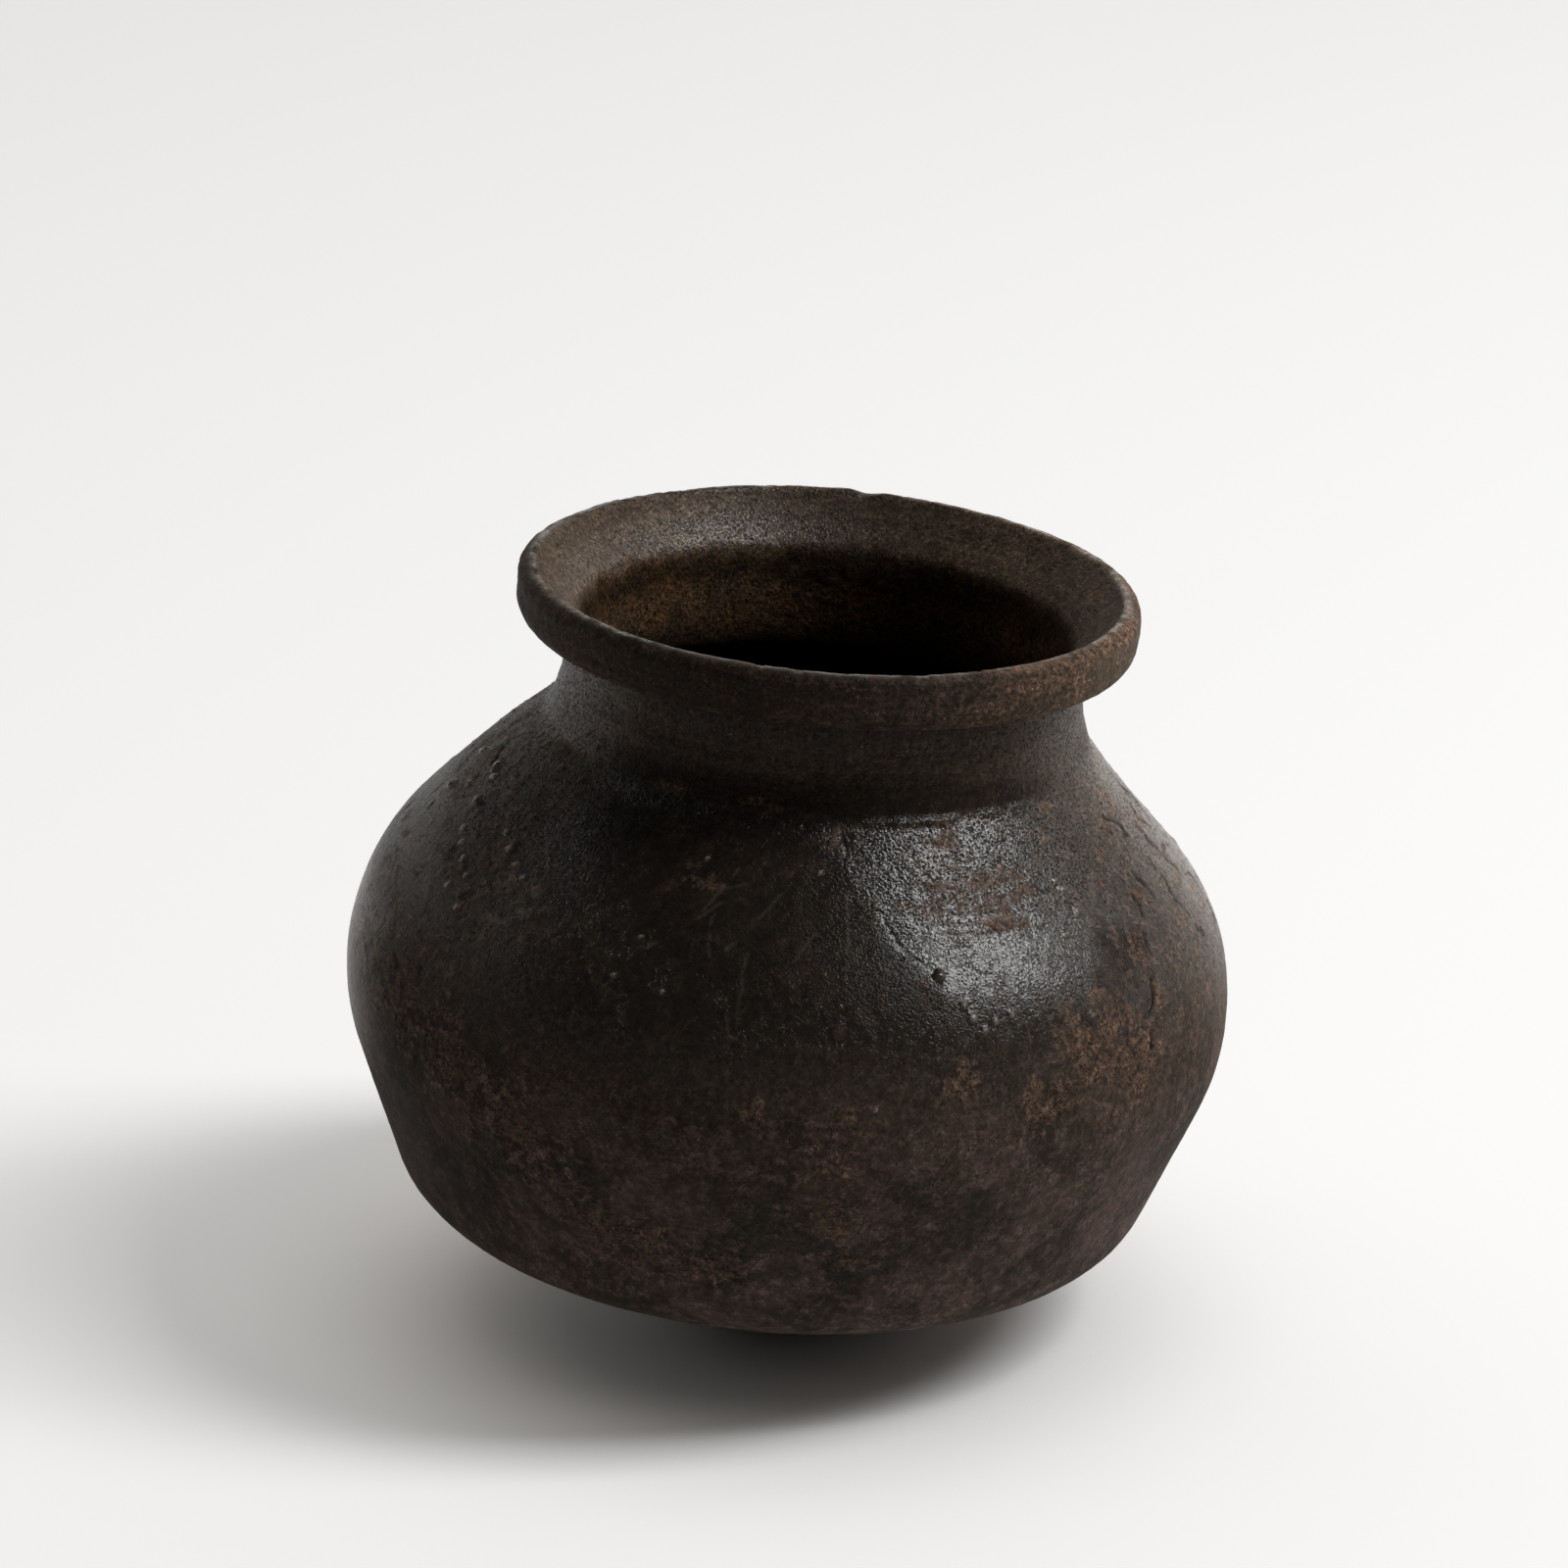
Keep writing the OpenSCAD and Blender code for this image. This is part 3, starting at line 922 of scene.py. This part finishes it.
# Depths of the bumps, in metres
LEATHER_BUMP = 0.00014
WRINKLE_BUMP = -0.00012
PLATE_BUMP = 0.00040
PIT_BUMP = 0.00032
DOT_BUMP = 0.00020
DEEP_BUMP = 0.0004

# Roughness of dull and polished clay, roughness of the burnished coat, and strength of plain reflection
CLAY_ROUGHNESS = (0.75, 0.55)
COAT_ROUGHNESS = 0.17
CLAY_SPECULAR = 0.08

# Darkest and brightest level that stains and leathery grain give the clay
STAIN_LEVELS = (0.80, 1.22)


def clay_patterns(n):
    """Noise, masks, lines and plates that the clay's colour, gloss and bump share, by name."""
    where = n.add("ShaderNodeTexCoord").outputs["Object"]
    level = n.add("ShaderNodeMapping", vector_type="TEXTURE", Vector=where, Scale=STREAK_STRETCH,
                  Rotation=(0, math.radians(LEAN), 0)).outputs[0]
    noises = {name: n.noise(where, *waves) for name, waves in CLAY_NOISE.items()}
    masks = {name: n.mask(name) for name in CLAY_MASKS}
    p = SimpleNamespace(**noises, **masks)
    p.streak = n.noise(level, *STREAK_NOISE)
    p.dots = n.dots(where, *DOTS)
    p.wrinkle = n.times(n.line(p.thread, 0.5, 0.03), n.step(p.stain, 0.44, 0.60))
    p.squiggle = n.line(p.curl, 0.5, 0.045)
    p.plate = n.times(n.step(p.bed, 0.53, 0.56), p.scaly)
    p.outline = n.times(n.line(p.bed, 0.52, 0.022, 0.7), p.scaly)
    p.stained = n.plus(p.mottle, n.sway(p.stain, 0.6))
    ragged = n.plus(n.sway(p.stain, 2.0), n.sway(p.leather, 1.4), n.sway(p.streak, 1.5), n.sway(p.grain, 1.0))
    p.rubbed = n.step(n.plus(p.worn, n.times(ragged, n.step(p.worn, 0.0, 0.3))), 0.15, 0.95)
    return p


def clay_layers(n, p):
    """Colour of the clay from the body out: film, skin, rubbed and bare places, sand, rust and soot."""
    clay = n.mix(n.step(n.plus(p.mottle, n.sway(p.stain, 0.35)), 0.36, 0.64), GREY_CLAY, PURPLE_CLAY)
    clay = n.mix(n.step(p.stain, 0.58, 0.76, 0.0, 0.35), clay, WORN_CLAY)
    clay = n.mix(n.times(p.film, 0.85), clay, BROWN_FILM)
    skin_left = n.step(n.plus(p.skin, n.sway(p.stain, 1.1), n.sway(p.mottle, 0.8)), 0.15, 0.85)
    skin = n.mix(n.step(p.stained, 0.50, 0.70), BLACK_SKIN, RUSTY_SKIN)
    clay = n.mix(n.times(skin_left, 0.95), clay, skin)
    clay = n.mix(p.rubbed, clay, WORN_CLAY)
    clay = n.mix(n.times(p.plate, 0.55), clay, PINK_SCALE)
    clay = n.mix(n.times(p.bare, n.step(p.leather, 0.36, 0.60, 0.1, 0.8)), clay, BARE_CLAY)
    clay = n.mix(n.times(p.sand, n.step(p.stain, 0.35, 0.62, 0.15, 0.9)), clay, SANDY_FUNNEL)
    clay = n.mix(n.times(p.deep, n.step(p.stained, 0.26, 0.66, 0.3, 1.0)), clay, RUSTY_INSIDE)
    squiggle = n.times(p.squiggle, n.step(p.worn, 0.2, 0.7, 0.0, 0.8))
    lines = n.most(p.crack, n.times(p.wrinkle, 0.6), squiggle, p.outline)
    return n.mix(lines, clay, CRACK_SOOT)


def clay_colour(n, p):
    """Layers of the clay, shaded by stains, grain, pits, streaks, tone and painted light, with pale grain and
    painted highlights on top.
    """
    patchy = n.step(p.cloud, 0.44, 0.62)
    busy = n.most(patchy, p.film, p.rubbed, p.sand)
    swing = n.plus(0.20, n.times(busy, 0.30), n.times(p.deep, 0.25))
    clay = clay_layers(n, p)
    clay = n.shade(clay, n.step(p.stain, 0.36, 0.64, *STAIN_LEVELS))
    clay = n.shade(clay, n.step(p.leather, 0.40, 0.60, *STAIN_LEVELS))
    clay = n.shade(clay, n.step(p.grain, 0.32, 0.68, n.minus(1.0, swing), n.plus(1.0, swing)))
    clay = n.shade(clay, n.step(p.pit, 0.29, 0.35, n.plus(0.65, n.times(busy, -0.40)), 1.0))
    clay = n.shade(clay, n.step(p.pit, 0.66, 0.72, 1.0, n.plus(1.7, n.times(busy, 1.3))))
    clay = n.shade(clay, n.plus(1.0, n.times(p.film, n.sway(p.streak, 1.2))))
    # Tone, with the painted light, sheen and shade that it carries
    clay = n.shade(clay, p.tone)
    return n.mix(p.pale, clay, PALE_GRAIN_AND_HIGHLIGHT)


def clay_gloss(n, p):
    """Weight of the burnished coat: the polish where it isn't rubbed away, broken up by pits."""
    gloss = n.times(p.polish, n.minus(1.0, n.times(p.rubbed, 0.85)))
    dull, bright = n.plus(0.28, n.times(p.rough, 0.13)), n.plus(0.50, n.times(p.rough, 0.02))
    return n.times(gloss, n.step(p.pit, dull, bright, 0.04, 1.0))


def clay_bumps(n, p):
    """Normal bent by leathery grain, wrinkles, scaly plates, pits, dots and the sand deep inside."""
    fine = n.bump(p.leather, LEATHER_BUMP)
    fine = n.bump(p.wrinkle, WRINKLE_BUMP, fine)
    fine = n.bump(p.plate, PLATE_BUMP, fine)
    fine = n.bump(p.pit, PIT_BUMP, fine, n.plus(0.72, n.times(p.sand, 0.28)))
    fine = n.bump(p.dots, DOT_BUMP, fine)
    return n.bump(p.grain, DEEP_BUMP, fine, p.deep)


def make_smoked_clay():
    """Burnished black skin over brown clay, rubbed, flaked and stained, with a rusty sandy inside."""
    material = bpy.data.materials.new("smoked_clay")
    material.use_nodes = True
    n = Nodes(material.node_tree)
    inputs = material.node_tree.nodes["Principled BSDF"].inputs
    p = clay_patterns(n)
    fine = clay_bumps(n, p)
    n.put(inputs["Base Color"], clay_colour(n, p))
    n.put(inputs["Roughness"], n.step(p.polish, 0.0, 1.0, *CLAY_ROUGHNESS))
    n.put(inputs["Coat Weight"], clay_gloss(n, p))
    n.put(inputs["Normal"], fine)
    n.put(inputs["Coat Normal"], fine)
    inputs["Coat Roughness"].default_value = COAT_ROUGHNESS
    inputs["Specular IOR Level"].default_value = CLAY_SPECULAR
    return material


def make_pot():
    """The five luted sections, from the base up, each as its outside and then its inside."""
    clay = make_smoked_clay()
    make_piece("base", [rows(POLE_GAP, POT.base, POLE_STEP, OUTSIDE_STEP),
                        rows(POT.base_inside, POT.end - POLE_GAP, INSIDE_STEP/2, INSIDE_STEP)],
               clay, poles=True)
    make_piece("lower_wall", [rows(POT.base, POT.belly, OUTSIDE_STEP, OUTSIDE_STEP),
                              rows(POT.belly_inside, POT.base_inside, INSIDE_STEP, INSIDE_STEP)], clay)
    make_piece("shoulder", [rows(POT.belly, POT.foot, OUTSIDE_STEP, OUTSIDE_STEP),
                            rows(POT.foot_inside, POT.belly_inside, INSIDE_STEP/2, INSIDE_STEP)], clay)
    make_piece("neck", [rows(POT.foot, POT.seat, COLLAR_STEP, COLLAR_STEP),
                        rows(POT.throat, POT.foot_inside, COLLAR_STEP, COLLAR_STEP)], clay)
    make_piece("rim", [np.r_[rows(POT.seat, POT.lip, COLLAR_STEP, LIP_STEP),
                             rows(POT.lip, POT.throat, LIP_STEP, COLLAR_STEP)[1:]]], clay)


# Camera where the photograph was taken from: place in metres, tilt and angle of view in degrees, reach
CAMERA_PLACE = (-0.0022, -1.7590, 0.7955)
CAMERA_DOWN = 19.81
CAMERA_ANGLE = 14.0
CAMERA_REACH = 50

# Floor: half its side and its drop below the pot in metres, and its finish
FLOOR_HALF = 12.0
FLOOR_DROP = 0.0003
FLOOR_COLOUR = colour(0.86, 0.86, 0.86)
FLOOR_ROUGHNESS = 0.9
FLOOR_SPECULAR = 0.1

# Floor's glow, painted light to the eye that fades to painted shade round the pot: strength, and the reach,
# samples, limits and tilt of the test for how open a place is
FLOOR_GLOW = 0.34
FLOOR_GLOW_REACH = 0.5
FLOOR_GLOW_SAMPLES = 8
FLOOR_GLOW_SPAN = (0.20, 0.80)
FLOOR_GLOW_TILT = (0.02, 0.15, 0.99)
# Glow colours where the floor is hidden and where it is open: warmer in the painted shade round the pot
HIDDEN_GLOW_COLOUR = colour(1.0, 0.92, 0.84)
OPEN_GLOW_COLOUR = colour(1, 1, 1)

# Lamp: way to it, roll in degrees, distance and size in metres, power in watts
KEY_TOWARDS = (0.626, -0.118, 0.770)
KEY_ROLL = 17.0
KEY_DISTANCE = 5.0
KEY_HEIGHT = 2.6
KEY_WIDTH = 1.3
KEY_WATTS = 170.0

# Room: colour and level of its light, the backdrop's level, and limits for how far back and up that goes
ROOM_COLOUR = colour(1.0, 0.965, 0.91)
ROOM_LEVEL = 0.05
BACKDROP_LEVEL = 0.9
BACKDROP_DEPTH = (-0.35, 0.5)
BACKDROP_FADE = (0.3, 0.85)


def make_camera():
    """Camera at the photograph's place and angle of view."""
    data = bpy.data.cameras.new("camera")
    data.angle = math.radians(CAMERA_ANGLE)
    data.clip_end = CAMERA_REACH
    camera = bpy.data.objects.new("camera", data)
    camera.location = CAMERA_PLACE
    camera.rotation_euler = (math.radians(90 - CAMERA_DOWN), 0, 0)
    bpy.context.scene.collection.objects.link(camera)
    bpy.context.scene.camera = camera


def make_floor():
    """Plain pale floor, far wider than the view, with a faint glow to the eye where it is open: painted
    light, fading to painted shade where the pot hides the open sky.
    """
    a, z = FLOOR_HALF, -FLOOR_DROP
    mesh = bpy.data.meshes.new("floor")
    mesh.from_pydata([(-a, -a, z), (a, -a, z), (a, a, z), (-a, a, z)], [], [(0, 1, 2, 3)])
    material = bpy.data.materials.new("pale_floor")
    material.use_nodes = True
    n = Nodes(material.node_tree)
    inputs = material.node_tree.nodes["Principled BSDF"].inputs
    ray = n.add("ShaderNodeLightPath").outputs
    seen = n.most(ray["Is Camera Ray"], ray["Is Glossy Ray"], ray["Is Transmission Ray"])
    x, y, z = FLOOR_GLOW_TILT
    tilt = n.add("ShaderNodeCombineXYZ", X=x, Y=y, Z=z).outputs[0]
    sky = n.add("ShaderNodeAmbientOcclusion", samples=FLOOR_GLOW_SAMPLES, Distance=FLOOR_GLOW_REACH,
                Normal=tilt).outputs["AO"]
    glow = n.times(seen, n.step(sky, *FLOOR_GLOW_SPAN))
    inputs["Base Color"].default_value = FLOOR_COLOUR
    inputs["Roughness"].default_value = FLOOR_ROUGHNESS
    inputs["Specular IOR Level"].default_value = FLOOR_SPECULAR
    n.put(inputs["Emission Color"], n.mix(sky, HIDDEN_GLOW_COLOUR, OPEN_GLOW_COLOUR))
    n.put(inputs["Emission Strength"], n.times(glow, FLOOR_GLOW))
    mesh.materials.append(material)
    floor = bpy.data.objects.new("floor", mesh)
    bpy.context.scene.collection.objects.link(floor)


def make_light():
    """One large soft lamp from the right."""
    data = bpy.data.lights.new("key", "AREA")
    data.shape = "RECTANGLE"
    data.size = KEY_HEIGHT
    data.size_y = KEY_WIDTH
    data.energy = KEY_WATTS
    lamp = bpy.data.objects.new("key", data)
    towards = np.array(KEY_TOWARDS)/np.linalg.norm(KEY_TOWARDS)
    lamp.location = KEY_DISTANCE*towards
    turned = Euler((0, math.acos(towards[2]), math.atan2(towards[1], towards[0]))).to_matrix()
    lamp.rotation_euler = (turned @ Matrix.Rotation(math.radians(KEY_ROLL), 3, "Z")).to_euler()
    bpy.context.scene.collection.objects.link(lamp)


def make_room():
    """Dim room with a pale backdrop behind the pot, brightest low down and fading upwards and forwards."""
    world = bpy.data.worlds.new("room")
    world.use_nodes = True
    n = Nodes(world.node_tree)
    place = n.add("ShaderNodeTexCoord").outputs["Generated"]
    towards = n.add("ShaderNodeSeparateXYZ", Vector=place).outputs
    behind, low = n.step(towards["Y"], *BACKDROP_DEPTH), n.step(towards["Z"], *BACKDROP_FADE, 1.0, 0.0)
    backdrop = n.times(n.times(behind, low), BACKDROP_LEVEL)
    background = world.node_tree.nodes["Background"]
    background.inputs["Color"].default_value = ROOM_COLOUR
    n.put(background.inputs["Strength"], n.plus(ROOM_LEVEL, backdrop))
    bpy.context.scene.world = world


make_camera()
make_pot()
make_floor()
make_light()
make_room()
bpy.context.scene.view_settings.view_transform = "Standard"
